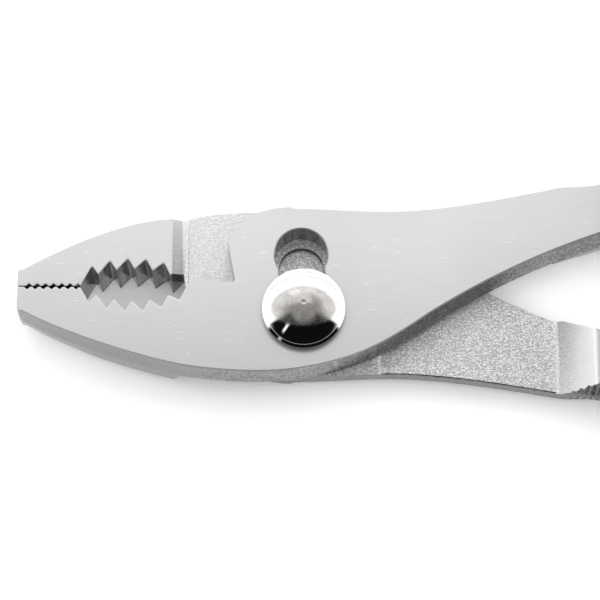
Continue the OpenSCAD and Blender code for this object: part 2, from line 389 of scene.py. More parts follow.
class NodeBoard:
    """A material's or a world's nodes, laid out as they are added."""

    def __init__(self, tree: bpy.types.NodeTree) -> None:
        """Empties the tree and starts with nothing in it."""
        self.tree = tree
        tree.nodes.clear()

    def add(self, kind: str, inputs: dict | None = None, **settings: object) -> bpy.types.Node:
        """Adds a node.

        Args:
            kind: Node type without its ShaderNode prefix.
            inputs: Values, or sockets to link from, by the input's name or place.
            settings: Attributes of the node.

        Returns:
            The node.
        """
        node = self.tree.nodes.new("ShaderNode" + kind)
        node.location = (220 * (len(self.tree.nodes) - 1), 0)
        for name, value in settings.items():
            setattr(node, name, value)
        for name, value in (inputs or {}).items():
            if isinstance(value, Socket):
                self.tree.links.new(value, node.inputs[name])
            else:
                node.inputs[name].default_value = value
        return node

    def noise(self, vector: Socket, scale: float, detail: float = 2.0, rough: float = 0.5) -> Socket:
        """Cloudy pattern between 0 and 1."""
        node = self.add("TexNoise", {"Vector": vector, "Scale": scale, "Detail": detail, "Roughness": rough})
        return node.outputs["Fac"]

    def stretched(self, vector: Socket, scale: Point3) -> Socket:
        """Coordinates scaled apart along the axes."""
        return self.add("Mapping", {"Vector": vector, "Scale": scale}).outputs["Vector"]

    def ramp(self, value: Socket, low: float, high: float,
             to_low: float = 0.0, to_high: float = 1.0) -> Socket:
        """Value brought softly from one range to another and held at its ends."""
        inputs = {"Value": value, "From Min": low, "From Max": high, "To Min": to_low, "To Max": to_high}
        return self.add("MapRange", inputs, interpolation_type="SMOOTHSTEP").outputs["Result"]

    def about(self, pattern: Socket, middle: float, play: float) -> Socket:
        """Value that a pattern moves up and down from its middle."""
        return self.ramp(pattern, 0.3, 0.7, middle - play, middle + play)

    def math(self, operation: str, a: object, b: object) -> Socket:
        """Sum, product or the like of two values."""
        return self.add("Math", {0: a, 1: b}, operation=operation).outputs["Value"]

    def blend(self, share: object, a: object, b: object) -> Socket:
        """Colour between two others.

        Args:
            share: How much of b there is, from 0 to 1.
            a: Colour or socket.
            b: Colour or socket.

        Returns:
            The colour's socket.
        """
        node = self.add("Mix", data_type="RGBA")
        for name, value in (("Factor", share), ("A", a), ("B", b)):
            socket = next(s for s in node.inputs if s.name == name and s.enabled)
            if isinstance(value, Socket):
                self.tree.links.new(value, socket)
            else:
                socket.default_value = value
        return next(s for s in node.outputs if s.enabled)

    def bump(self, height: Socket, strength: float, depth: float, under: Socket | None = None) -> Socket:
        """Normal raised by a height.

        Args:
            height: Pattern of the relief.
            strength: Share of it that shows.
            depth: Depth of the relief in millimetres.
            under: Normal that it lies over, if there is one.

        Returns:
            The normal's socket.
        """
        inputs = {"Height": height, "Strength": strength, "Distance": depth * MM}
        if under is not None:
            inputs["Normal"] = under
        return self.add("Bump", inputs).outputs["Normal"]

    def metal(self, tone: Socket, metallic: float, rough: Socket, normal: Socket) -> None:
        """Ends a material with its surface.

        Args:
            tone: Base colour.
            metallic: How much of a metal it is, from 0 to 1.
            rough: Roughness.
            normal: Normal.
        """
        inputs = {"Base Color": tone, "Metallic": metallic, "Roughness": rough, "Normal": normal}
        shader = self.add("BsdfPrincipled", inputs)
        self.add("OutputMaterial", {"Surface": shader.outputs["BSDF"]})


def grey(value: float, warm: float = 0.0) -> Colour:
    """Grey of a linear value, a little warmer or cooler."""
    return (value * (1 + warm), value, value * (1 - warm), 1.0)


@dataclass(frozen=True)
class Finish:
    """A finish that makes its own material."""

    name: str

    def board(self) -> tuple[Material, NodeBoard, Socket]:
        """Starts the finish's material.

        Returns:
            The material, its node board and the object's own coordinates.
        """
        material = bpy.data.materials.new(self.name)
        material.use_nodes = True
        board = NodeBoard(material.node_tree)
        return material, board, board.add("TexCoord").outputs["Object"]

    def material(self) -> Material:
        """The finish as a material."""
        raise NotImplementedError


@dataclass(frozen=True)
class GroundSatin(Finish):
    """Plating over a ground face: fine lines along the tool, and short bright scratches."""

    light: float = 0.66
    dark: float = 0.61
    metal: float = 0.82
    rough: float = 0.33
    line_pitch: float = 0.11
    line_length: float = 9.0
    line_depth: float = 0.004
    rough_play: float = 0.03
    cloud_scale: float = 60.0
    dash_scale: Point3 = (420.0, 4200.0, 4200.0)
    dash_edge: Point = (0.735, 0.78)
    dash_share: float = 0.8
    dash_tone: float = 0.9

    def material(self) -> Material:
        """Builds the ground finish.

        Returns:
            The material.
        """
        material, board, place = self.board()
        across, along = 1 / (self.line_pitch * MM), 1 / (self.line_length * MM)
        lines = board.noise(board.stretched(place, (along, across, across)), 1.0, detail=3.0, rough=0.6)
        cloud = board.noise(place, self.cloud_scale)
        dashes = board.noise(board.stretched(place, self.dash_scale), 1.0, detail=1.0, rough=0.4)
        scratch = board.ramp(dashes, *self.dash_edge, 0.0, self.dash_share)
        tone = board.blend(board.ramp(lines, 0.25, 0.75), grey(self.dark), grey(self.light))
        tone = board.blend(scratch, tone, grey(self.dash_tone))
        brushed = board.ramp(lines, 0.2, 0.8, -self.rough_play, self.rough_play)
        rough = board.math("ADD", board.about(cloud, self.rough, self.rough_play), brushed)
        board.metal(tone, self.metal, rough, board.bump(lines, 0.5, self.line_depth))
        return material


@dataclass(frozen=True)
class AsForged(Finish):
    """Plating over the skin of a forging: fine winding speckle, calmer towards the jaws, with a painted
    highlight up the handle's ramp and, where asked, painted shade over the knurl.
    """

    light: float = 0.92
    dark: float = 0.28
    calm_light: float = 0.7
    metal: float = 0.8
    rough: float = 0.36
    grain: float = 0.3
    grain_pull: float = 2.0
    grain_depth: float = 0.12
    ramp_sheen: float = 0.85
    ramp_sheen_from: float = 42.0
    ramp_sheen_to: float = 49.0
    calm: float = 0.3
    calm_from: float = 10.0
    calm_to: float = -2.0
    light_before: float = -99.0
    brink: float = 0.4
    knurl_shade_keep: float = 1.0
    knurl_from: float = 41.0
    knurl_to: float = 47.0
    painted_shade_tone: float = 0.02
    line_half: float = 0.085
    swell_scale: float = 420.0
    swell_depth: float = 0.06
    rough_play: float = 0.08

    def material(self) -> Material:
        """Builds the forged finish.

        Returns:
            The material.
        """
        material, board, place = self.board()
        across = 1 / (self.grain * MM)
        pulled = board.stretched(place, (across / self.grain_pull, across, across))
        grain = board.noise(pulled, 1.0, detail=3.0, rough=0.65)
        off_middle = board.math("ABSOLUTE", board.math("SUBTRACT", grain, 0.5), 0.0)
        winding = board.ramp(off_middle, 0.0, self.line_half, 1.0, 0.0)
        along = board.add("SeparateXYZ", {"Vector": place}).outputs["X"]
        # Painted highlight: up the handle's ramp the dark speckle and its relief fade out, so the ramp looks
        # as bright as the walls it reflects.
        ramp_sheen = board.ramp(along, self.ramp_sheen_from * MM, self.ramp_sheen_to * MM, 1.0, 1.0 - self.ramp_sheen)
        calm = board.ramp(along, self.calm_to * MM, self.calm_from * MM, self.calm, 1.0)
        coarse = board.math("MULTIPLY", calm, ramp_sheen)
        low, high = self.light_before - self.brink, self.light_before + self.brink
        lit = board.math("MAXIMUM", calm, board.ramp(along, low * MM, high * MM, 1.0, 0.0))
        light = board.blend(lit, grey(self.calm_light), grey(self.light))
        tone = board.blend(board.math("MULTIPLY", winding, coarse), light, grey(self.dark))
        # Painted shade: over the knurled end the sides darken towards near black, standing in for the floor's
        # shadow that they reflect.
        knurl_shade = board.ramp(along, self.knurl_from * MM, self.knurl_to * MM, 0.0, 1.0 - self.knurl_shade_keep)
        tone = board.blend(knurl_shade, tone, grey(self.painted_shade_tone))
        rough = board.about(grain, self.rough, -self.rough_play)
        wavy = board.bump(board.noise(place, self.swell_scale), 0.4, self.swell_depth)
        normal = board.bump(board.math("MULTIPLY", grain, coarse), 0.8, self.grain_depth, wavy)
        board.metal(tone, self.metal, rough, normal)
        return material


@dataclass(frozen=True)
class CutTooth(Finish):
    """Broached tooth flanks and the slot's wall: darker bare steel with painted shade, lines through the
    thickness, and a painted contact shadow at their foot.
    """

    light: float = 0.29
    dark: float = 0.09
    rough: float = 0.16
    foot_shadow_keep: float = 0.15
    foot_shadow_low: float = 4.0
    foot_shadow_high: float = 4.5
    line_scale: Point3 = (1500.0, 1500.0, 70.0)
    line_depth: float = 0.01
    cloud_scale: float = 600.0
    rough_play: float = 0.05

    def material(self) -> Material:
        """Builds the tooth finish.

        Returns:
            The material.
        """
        material, board, place = self.board()
        lines = board.noise(board.stretched(place, self.line_scale), 1.0, detail=4.0, rough=0.6)
        cloud = board.noise(place, self.cloud_scale)
        tone = board.blend(board.ramp(lines, 0.35, 0.65), grey(self.dark), grey(self.light))
        height = board.add("SeparateXYZ", {"Vector": place}).outputs["Z"]
        # Painted contact shadow: the lowest part of the flanks, near the floor, goes near black.
        foot = board.ramp(height, self.foot_shadow_low * MM, self.foot_shadow_high * MM, 1.0 - self.foot_shadow_keep, 0.0)
        tone = board.blend(foot, tone, grey(0.0))
        rough = board.about(cloud, self.rough, self.rough_play)
        board.metal(tone, 1.0, rough, board.bump(lines, 0.4, self.line_depth))
        return material


@dataclass(frozen=True)
class PolishedPlate(Finish):
    """Polished plating of the bolt, with fine pits over the middle of its dome and painted shade on the side
    of its rim.
    """

    tone: float = 0.93
    worn_tone: float = 0.42
    rough: float = 0.06
    pitted_radius: float = 6.4
    worn_shift: float = 0.6
    worn_flat: float = 1.6
    rim_shade_tone: float = 0.1
    rim_top: float = 15.26
    rim_soft: float = 0.02
    cloud_scale: float = 700.0
    cloud_depth: float = 0.03
    pit_scale: float = 1300.0
    pit_edge: Point = (0.56, 0.7)
    pit_share: float = 0.5
    pit_tone: float = 0.36
    pit_depth: float = 0.02
    worn_rough: Point = (0.14, 0.24)
    warm: float = 0.004
    worn_warm: float = 0.03

    def material(self) -> Material:
        """Builds the polished finish.

        Returns:
            The material.
        """
        material, board, place = self.board()
        shift, flatten = (0.0, self.worn_shift * MM, 0.0), (1.0, self.worn_flat, 0.0)
        shifted = board.add("Mapping", {"Vector": place, "Location": shift, "Scale": flatten})
        radius = board.add("VectorMath", {0: shifted.outputs["Vector"]}, operation="LENGTH").outputs["Value"]
        middle = board.ramp(radius, 0.8 * self.pitted_radius * MM, self.pitted_radius * MM, 1.0, 0.0)
        cloud = board.noise(place, self.cloud_scale, detail=3.0, rough=0.6)
        pits = board.math("MULTIPLY", middle, board.ramp(board.noise(place, self.pit_scale), *self.pit_edge))
        dull = board.math("MULTIPLY", middle, board.ramp(cloud, 0.3, 0.7, 0.8, 1.0))
        tone = board.blend(dull, grey(self.tone, self.warm), grey(self.worn_tone, self.worn_warm))
        pitted = board.math("MULTIPLY", pits, self.pit_share)
        tone = board.blend(pitted, tone, grey(self.pit_tone, self.worn_warm))
        height = board.add("SeparateXYZ", {"Vector": place}).outputs["Z"]
        # Painted shade: the side of the head's rim goes near black, standing in for the dark undercut and
        # reflections there.
        rim = board.ramp(height, (self.rim_top - self.rim_soft) * MM, self.rim_top * MM, 1.0, 0.0)
        tone = board.blend(rim, tone, grey(self.rim_shade_tone))
        worn = board.math("MULTIPLY", middle, board.ramp(cloud, 0.35, 0.7, *self.worn_rough))
        rough = board.math("ADD", worn, self.rough)
        wavy = board.bump(board.math("MULTIPLY", cloud, middle), 0.35, self.cloud_depth)
        board.metal(tone, 1.0, rough, board.bump(pits, 0.35, -self.pit_depth, wavy))
        return material


@dataclass(frozen=True)
class PlatedSteel(Finish):
    """Dull plating of the nut, with turning lines."""

    light: float = 0.72
    dark: float = 0.55
    rough: float = 0.34
    rough_play: float = 0.06
    grain_scale: float = 1800.0
    grain_depth: float = 0.012
    cloud_scale: float = 250.0

    def material(self) -> Material:
        """Builds the nut's finish.

        Returns:
            The material.
        """
        material, board, place = self.board()
        grain = board.noise(place, self.grain_scale, detail=3.0, rough=0.6)
        cloud = board.noise(place, self.cloud_scale)
        tone = board.blend(board.ramp(cloud, 0.3, 0.7), grey(self.dark), grey(self.light))
        rough = board.about(grain, self.rough, self.rough_play)
        board.metal(tone, 1.0, rough, board.bump(grain, 0.3, self.grain_depth))
        return material


# The forged halves


@dataclass
class ForgedHalf:
    """One half: jaw, joint plate and handle in a single drop forging."""

    side: Side
    tip_depth: float
    jaw_depth: float
    cheek: float
    step: float
    grip_depth: float
    grip_end_depth: float
    stagger: float
    other_plate: float
    crest_rise: float
    waist_drop: float
    overall_length: float = 200.0
    jaw_reach: float = 50.0
    thickness: float = 10.5
    tip_rise: float = 2.0
    tip_run: float = 14.0
    fine_length: float = 11.0
    fine_lead: float = 1.0
    fine_count: int = 7
    fine_depth: float = 0.46
    notch_half: float = 0.4
    grip_length: float = 18.3
    grip_end_drop: float = 0.5
    grip_radius: float = 19.0
    grip_lead: float = 1.6
    grip_count: int = 5
    grip_tooth: float = 2.0
    tooth_lean: float = 0.36
    grip_spare: float = 0.8
    root_round: float = 0.45
    crest_round: float = 0.16
    pivot_drop: float = 4.4
    joint_depth: float = 15.8
    belly_reach: float = 8.0
    crown_depth: float = 14.9
    crown_reach: float = 2.4
    shoulder_reach: float = 20.6
    shoulder_run: float = 2.4
    shoulder_fillet: float = 1.2
    toe_reach: float = 19.3
    toe_rise: float = 2.0
    nose_reach: float = 13.4
    nose_rise: float = 8.3
    nose_draw: float = 1.4
    nose_foot: float = 1.1
    face_reach: float = 13.0
    web_relief: float = 0.6
    slot_d: float = 9.4
    neck_w: float = 8.1
    slip_travel: float = 10.4
    slot_lean: float = 2.3
    hollow_half_w: float = 3.9
    hollow_depth: float = 1.2
    hollow_stop: float = 1.0
    bore_d: float = 7.7
    waist_reach: float = 22.3
    neck_reach: float = 15.0
    neck_draw: float = 0.6
    handle_w: float = 11.5
    crest_reach: float = 100.0
    end_draw: float = 1.6
    swell_reach: float = 44.5
    swell_run: float = 6.0
    brow_drop: float = 0.3
    brow_run: float = 0.5
    web_ease: float = 0.28
    jaw_gap: float = 0.16
    face_gap: float = 0.1
    back_z: float = 3.48
    draft: float = 0.42
    inner_draft: float = 2.4
    edge_ease: float = 0.19
    tooth_ease: float = 0.1
    tooth_flat: float = 0.2
    handle_round: float = 1.3
    round_from: float = 51.5
    round_to: float = 61.5
    handle_belly: float = 0.3
    knurl_pitch: float = 1.15
    knurl_depth: float = 0.5
    knurl_lean: float = 3.2
    plain_spacing: float = 0.9
    knurl_steps: int = 6
    rib_seed: int = 4
    rib_count: int = 400
    rib_play: Point = (0.75, 1.0)
    rib_start: Point = (44.0, 48.5)
    rib_stop: Point = (139.0, 143.0)
    rib_fade: Point = (0.35, 1.6)
    rib_power: float = 1.5
    side_levels: tuple[float, ...] = (0.45, 0.9, 1.5, 2.3, 3.2, 4.2)
    miter_limit: float = 0.6
    tip_round: float = 0.35
    lip_round: float = 0.25
    fine_round: float = 0.05
    land_round: float = 0.12
    toe_round: float = 0.2
    cheek_round: float = 0.4
    ramp_round: float = 0.6
    foot_draft: float = 0.1
    tip_draft: float = 0.2
    nose_draft: float = 0.4
    foot_spacing: float = 0.5
    nose_spacing: float = 0.6
    end_sweep: float = 86.0
    end_steps: int = 40
    fillet_lip: Point = (0.18, 0.1)
    fillet_steps: int = 10
    ramp_steps: int = 6
    ramp_over: float = 0.12
    slot_steps: int = 48
    slot_band: float = 0.3
    hollow_ease: Point = (0.12, 0.25)
    hollow_steps: int = 40
    bore_sides: int = 60
    overcut: float = 1.0
    cross_reach: float = 60.0
    level_play: float = 0.02
    flat_play: float = 0.2
    grip_margin: Point = (0.15, 0.2)
    grip_low: float = -6.0
    shoulder_margin: float = 0.3
    web_lean: float = 0.25
    smooth_angle: float = 32.0

    @property
    def meet_y(self) -> float:
        """Height of the jaw's flat, half the gap below the meeting line."""
        return -self.jaw_gap / 2

    @property
    def shoulder_x(self) -> float:
        """Where the jaw ends and its shoulder starts to drop."""
        return -self.shoulder_reach - self.shoulder_run

    @property
    def face_z(self) -> float:
        """Level of the joint face, in the half's own lie."""
        return self.other_plate + self.face_gap / 2

    @property
    def web_z(self) -> float:
        """Level of the handle's web, relieved behind the joint face."""
        return self.face_z + self.web_relief

    @property
    def neck(self) -> Point:
        """Where the outer side of the handle starts."""
        return (self.neck_reach, self.crown_depth - self.neck_draw)

    @property
    def waist(self) -> Point:
        """Where the inner side of the handle ends."""
        return (self.waist_reach, -self.waist_drop)

    def teeth(self) -> list[EdgePoint]:
        """Jaw face from the tip to the toe of the plate: fine notches, then the pipe grip.

        Returns:
            Corners of the jaw face, each with the radius that eases it.
        """
        tip_x, start = -self.jaw_reach, self.fine_length - self.jaw_reach
        pitch = (self.fine_length - self.fine_lead) / self.fine_count
        found = [(tip_x, self.meet_y, self.lip_round)]
        for i in range(self.fine_count):
            for step in (-self.notch_half, 0.0, self.notch_half):
                depth = self.fine_depth if step == 0 else 0.0
                if i == self.fine_count - 1 and step > 0:
                    continue
                x = tip_x + self.fine_lead + (i + 0.5 + step) * pitch + self.stagger
                found.append((x, self.meet_y - depth, self.fine_round))
        found.append((start, self.meet_y, self.land_round))
        coarse = self.grip_length / (self.grip_count + self.grip_spare)
        middle = start + self.grip_length / 2
        for i in range(self.grip_count):
            for crest in (0, 1):
                x = start + self.grip_lead + self.stagger + (i + crest * self.tooth_lean) * coarse
                sag = self.grip_radius - math.sqrt(self.grip_radius**2 - (x - middle) ** 2)
                ease = self.crest_round if crest else self.root_round
                found.append((x, crest * self.grip_tooth - self.grip_depth + sag, ease))
        last = start + self.grip_lead + self.stagger + self.grip_count * coarse
        found.append((last, -self.grip_end_depth, self.root_round))
        found.append((start + self.grip_length, -self.grip_end_drop, self.toe_round))
        found.append((-self.toe_reach, self.toe_rise, self.toe_round))
        return [EdgePoint(x, y, draft=0.0, radius=r) for x, y, r in found]

    def handle(self) -> list[EdgePoint]:
        """Handle's edge from the outer waist round the end to the inner waist.

        Returns:
            Points of the edge, close together where the outer side is knurled.
        """
        crest_y, end_r = self.crest_rise, self.handle_w / 2
        end = (self.overall_length - self.jaw_reach - end_r, crest_y - self.end_draw - end_r)
        gap, fine = self.plain_spacing, self.knurl_pitch / self.knurl_steps
        crest_out, crest_in = (self.crest_reach, crest_y), (self.crest_reach, crest_y - self.handle_w)
        outer = curve(self.neck, Lead(0, 0.24), crest_out, Lead(2, 0.35), fine / 2)
        ribbed = self.swell_reach - 1
        plain, knurled = [p for p in outer if p.x < ribbed], [p for p in outer if p.x >= ribbed]
        knurled += curve(crest_out, Lead(0, 0.4), (end[0], end[1] + end_r), Lead(-3, 0.27), fine / 2)
        found = edge_points(spaced(plain, gap))
        lean = self.knurl_lean - 1
        for p in spaced(knurled, fine):
            draft = 1 + lean * smoothstep(self.swell_reach, self.round_from, p.x)
            found.append(EdgePoint(p.x, p.y, draft=draft, knurl=1.0))
        rest = arc(end, end_r, self.end_sweep, -self.end_sweep, self.end_steps)
        rest += curve((end[0], end[1] - end_r), Lead(177, 0.27), crest_in, Lead(180, 0.4), gap)
        rest += curve(crest_in, Lead(180, 0.11), self.waist, Lead(213, 0.52), gap)
        found += edge_points(rest, self.inner_draft)
        return [replace(p, swell=smoothstep(self.round_from, self.round_to, p.x)) for p in found]

    def edge(self) -> list[EdgePoint]:
        """Whole edge of the half's plan, clockwise from the jaw's tip.

        Returns:
            Points of the edge, its corners still sharp.
        """
        gap = self.plain_spacing
        toe, nose = (-self.toe_reach, self.toe_rise), (-self.nose_reach, self.nose_rise)
        root = (self.nose_draw - self.nose_reach, self.nose_foot)
        crown = (-self.crown_reach, self.crown_depth)
        belly = (-self.belly_reach, -self.joint_depth)
        shoulder, tip = (self.shoulder_x, -self.jaw_depth), (-self.jaw_reach, -self.tip_depth)
        points = self.teeth()
        sole = curve(toe, Lead(-17, 0.4), root, Lead(14, 0.27), self.foot_spacing)
        points += edge_points(sole, self.foot_draft, self.lip_round)
        points.append(EdgePoint(*nose, draft=self.tip_draft, radius=self.tip_round))
        brow = curve(nose, Lead(80, 0.19), crown, Lead(0, 0.58), self.nose_spacing)
        points += edge_points(brow, self.nose_draft)
        points += edge_points(curve(crown, Lead(0, 0.33), self.neck, Lead(0, 0.33), gap))
        points += self.handle()
        for p in curve(self.waist, Lead(215, 0.44), belly, Lead(180, 0.25), gap):
            draft = 1 + (self.inner_draft - 1) * smoothstep(self.belly_reach, self.waist_reach, p.x)
            points.append(EdgePoint(p.x, p.y, draft=draft))
        cheek = curve(belly, Lead(180, 0.35), shoulder, Lead(180 - self.step, 0.17), gap)
        points += edge_points(cheek, last_radius=self.cheek_round)
        jaw = curve(shoulder, Lead(180 - self.cheek, 0.3), tip, Lead(149, 0.25), gap)
        points += edge_points(jaw[:-1])
        points.append(EdgePoint(*tip, draft=self.tip_draft, radius=self.tip_round))
        return points

    def inset(self, point: EdgePoint, depth: float) -> float:
        """How far the side lies inside the plan's edge.

        Args:
            point: Place on the edge.
            depth: Distance below the nearer flat face.

        Returns:
            The inset in millimetres.
        """
        half = self.thickness / 2
        lean = point.draft * self.draft * (1 - depth / half)
        bevel = max(0.0, self.edge_ease - depth)
        if point.draft == 0:
            bevel = self.tooth_flat * max(0.0, 1 - depth / self.tooth_ease)
        plain = lean + bevel
        short = max(0.0, self.handle_round - depth)
        rounded = self.handle_round - math.sqrt(self.handle_round**2 - short**2)
        full = rounded + self.handle_belly * (1 - depth / half) ** 2
        return plain + point.swell * (full - plain)

    def ribs(self, edge: list[EdgePoint]) -> list[float]:
        """Depth of the knurl at each point of the edge, from the seeded run of its ribs.

        Args:
            edge: Points of the plan's edge.

        Returns:
            Depths in millimetres.
        """
        draw = random.Random(self.rib_seed)
        uneven = [draw.uniform(*self.rib_play) for _ in range(self.rib_count)]
        run, depths = 0.0, []
        for i, point in enumerate(edge):
            if point.knurl:
                run += (point.at() - edge[i - 1].at()).length
            phase = run / self.knurl_pitch
            start = smoothstep(*self.rib_start, point.x)
            stop = 1 - smoothstep(*self.rib_stop, point.x)
            groove = (0.5 + 0.5 * math.cos(2 * math.pi * phase)) ** self.rib_power
            full = self.knurl_depth * uneven[int(phase) % self.rib_count]
            depths.append(point.knurl * start * stop * groove * full)
        return depths

    def blank(self) -> Object:
        """Forging before it is cut for the other half: drafted sides, eased edges and knurled handle.

        Returns:
            The solid in the half's own lie.
        """
        edge, half = self.edge(), self.thickness / 2
        count = len(edge)
        outs: list[Vector] = []
        for i in range(count):
            a, b, c = edge[i - 1].at(), edge[i].at(), edge[(i + 1) % count].at()
            before, after = (b - a).normalized(), (c - b).normalized()
            out_a, out_b = Vector((-before.y, before.x)), Vector((-after.y, after.x))
            middle = (out_a + out_b).normalized()
            outs.append(middle / max(self.miter_limit, middle.dot(out_a)))
        ribs = self.ribs(edge)
        depths = (0.0, self.tooth_ease, self.edge_ease, *self.side_levels)
        levels = [*depths, half, *(self.thickness - d for d in reversed(depths))]
        rings = []
        for z in levels:
            depth = half - abs(z - half)
            rib_share = smoothstep(*self.rib_fade, depth)
            line = [point.at() - out * (self.inset(point, depth) + rib * rib_share)
                    for point, out, rib in zip(edge, outs, ribs)]
            ring = []
            for i, point in enumerate(edge):
                corner = [line[i]]
                if point.radius:
                    corner = eased(line[i - 1], line[i], line[(i + 1) % count], point.radius)
                ring += [(p.x, p.y, z) for p in corner]
            rings.append(ring)
        return loft(self.side.value + "_forging", rings)

    def crossing_profile(self) -> list[Vector]:
        """Profile in X and Z of the room for the other half's plate.

        Returns:
            Points from the shoulder's brink to the ramp of the handle.
        """
        face, web, over = self.face_z, self.web_z, self.ramp_over
        foot, (lip_x, lip_z) = face - self.shoulder_fillet, self.fillet_lip
        brink, fillet_x = Vector((self.shoulder_x, 0)), -self.shoulder_reach - self.shoulder_fillet
        ramp_foot = Vector((self.swell_reach, web))
        brow = Vector((self.swell_reach + self.swell_run, self.brow_drop))
        ramp_top = Vector((brow.x + self.brow_run, 0))
        found = [Vector((self.shoulder_x - self.lip_round, -self.overcut))]
        found += eased(Vector((-self.jaw_reach, 0)), brink, Vector((fillet_x, foot)), self.lip_round)
        found += arc((-self.shoulder_reach, foot), self.shoulder_fillet, 180, 90, self.fillet_steps)
        found.append(Vector((lip_x - self.shoulder_reach, face + lip_z)))
        found.append(Vector((2 * lip_x - self.shoulder_reach, face)))
        found += [Vector((self.face_reach, face)), Vector((self.face_reach + self.web_relief, web))]
        found += eased(Vector((self.face_reach, web)), ramp_foot, brow, self.ramp_round, self.ramp_steps)
        found += eased(ramp_foot, brow, ramp_top, self.lip_round)
        found += [ramp_top + Vector((over, -over)), ramp_top + Vector((over, -self.overcut))]
        return found

    def ease_web(self, obj: Object) -> None:
        """Eases the edges that the crossing leaves along the handle's web.

        Args:
            obj: The half in its own lie.
        """
        take_up(obj)
        mesh = obj.data
        steepest: dict[tuple[int, int], float] = {}
        for face in mesh.polygons:
            for key in face.edge_keys:
                steepest[key] = min(abs(face.normal.z), steepest.get(key, 1.0))
        bpy.context.tool_settings.mesh_select_mode = (False, True, False)
        for parts in (mesh.polygons, mesh.vertices):
            parts.foreach_set("select", [False] * len(parts))
        for line in mesh.edges:
            ends = [mesh.vertices[i].co / MM for i in line.vertices]
            on_web = all(abs(end.z - self.web_z) < self.level_play for end in ends)
            along = all(self.face_reach < end.x < self.swell_reach for end in ends)
            line.select = on_web and along and steepest[line.key] < STEEP
        bpy.ops.object.mode_set(mode="EDIT")
        bpy.ops.mesh.bevel(offset=self.web_ease * MM, segments=2, affect="EDGES")
        bpy.ops.object.mode_set(mode="OBJECT")

    def slot_ring(self, grow: float, z: float) -> list[Point3]:
        """Outline of the slot at one level.

        Args:
            grow: How far the outline stands outside the slot's own.
            z: Level in the half's own lie.

        Returns:
            Points round the slot.
        """
        r, half_neck = self.slot_d / 2 + grow, self.neck_w / 2 + grow
        open_angle = math.degrees(math.asin(half_neck / r))
        low = arc((0, 0), r, 90 - open_angle, open_angle - 270, self.slot_steps)
        high = arc((0, self.slip_travel), r, 270 - open_angle, open_angle - 90, self.slot_steps)
        return [(p.x, p.y - self.pivot_drop, z) for p in turned(low + high, self.slot_lean)]

    def cut_slot(self, obj: Object) -> None:
        """Cuts the slot for the pivot bolt, with its upper edge eased.

        Args:
            obj: The half in its own lie.
        """
        top, ease = self.thickness, self.edge_ease
        levels = ((0.0, self.other_plate - self.overcut), (0.0, top - ease), (2 * ease, top + ease))
        cut(obj, loft("slot_tool", [self.slot_ring(grow, z) for grow, z in levels]))

    def hollow_ring(self, grow: float, z: float) -> list[Point3]:
        """Outline of the forged hollow at one level, turned over as the half is.

        Args:
            grow: How far the outline stands outside the hollow's own.
            z: Level in the half's own lie.

        Returns:
            Points round the hollow.
        """
        stop, r = self.slip_travel - self.hollow_stop, self.hollow_half_w + grow
        flat = arc((0, stop), r, 180, 0, self.hollow_steps) + [Vector((r, 0)), Vector((-r, 0))]
        over = [Vector((p.x, -p.y)) for p in flat]
        return [(p.x, p.y + self.pivot_drop, z) for p in turned(over, -self.slot_lean)]

    def cut_bore(self, obj: Object) -> None:
        """Cuts the bore of the pivot bolt and the forged hollow beside it.

        Args:
            obj: The half in its own lie.
        """
        last = 360 - 360 / self.bore_sides
        outline = arc((0, self.pivot_drop), self.bore_d / 2, 0, last, self.bore_sides - 1)
        cut(obj, prism("bore_tool", outline, -self.overcut, self.thickness + self.overcut))
        rim, (grow, drop) = self.face_z, self.hollow_ease
        levels = ((grow, rim - self.overcut), (grow, rim), (0.0, rim + drop), (0.0, rim + self.hollow_depth))
        cut(obj, loft("hollow_tool", [self.hollow_ring(out, z) for out, z in levels]))

    def lift_tip(self, obj: Object, top: bool) -> None:
        """Leans the jaw's underside so that it rises towards the tip.

        Args:
            obj: The half's blank in its own lie.
            top: Whether the underside is the upper face in that lie.
        """
        start, half = self.tip_run - self.jaw_reach, self.thickness / 2
        with whole_mesh(obj):
            bpy.ops.mesh.bisect(plane_co=(start * MM, 0, 0), plane_no=(1, 0, 0))
        for vertex in obj.data.vertices:
            run = start - vertex.co.x / MM
            depth = self.thickness - vertex.co.z / MM if top else vertex.co.z / MM
            if run > 0 and depth < half:
                rise = self.tip_rise * run / self.tip_run * (1 - depth / half)
                vertex.co.z += (-rise if top else rise) * MM

    def in_slot(self, x: float, y: float) -> bool:
        """Tells whether a place is in the half's slot, wall included.

        Args:
            x: Place along the half in its own lie.
            y: Place across it.

        Returns:
            True in the slot of the front half.
        """
        p = turned([Vector((x, y + self.pivot_drop))], -self.slot_lean)[0]
        reach = (p - Vector((0, min(self.slip_travel, max(0.0, p.y))))).length
        return self.side is Side.FRONT and reach < self.slot_d / 2 + self.slot_band

    def surface_of(self, place: Vector, normal: Vector) -> Surface:
        """Tells which surface a face belongs to.

        Args:
            place: The face's middle in the half's own lie, in millimetres.
            normal: The face's normal.

        Returns:
            The surface.
        """
        x, y, z = place
        up, (tip_margin, toe_margin) = abs(normal.z), self.grip_margin
        in_grip = tip_margin - self.jaw_reach < x < toe_margin - self.toe_reach and y > self.grip_low
        on_web = abs(z - self.web_z) < self.web_ease and self.face_reach < x < self.swell_reach
        if up > STEEP and min(z, self.thickness - z) < self.flat_play:
            return Surface.GROUND
        # Tooth flanks and the slot's wall take the dark cut finish, which is partly painted shade.
        if up < UPRIGHT and (in_grip and normal.y > -UPRIGHT or self.in_slot(x, y)):
            return Surface.TOOTH
        # Painted shade: the sides, and the web's near bevel as a dark line, take the darker side finish.
        if up < STEEP and (abs(normal.y) > UPRIGHT or x < self.shoulder_x - self.shoulder_margin):
            return Surface.SIDE
        return Surface.SIDE if on_web and normal.y > self.web_lean else Surface.FORGED

    def finish_faces(self, obj: Object) -> None:
        """Gives each face the slot of the surface that it belongs to."""
        for face in obj.data.polygons:
            face.material_index = self.surface_of(face.center / MM, face.normal)

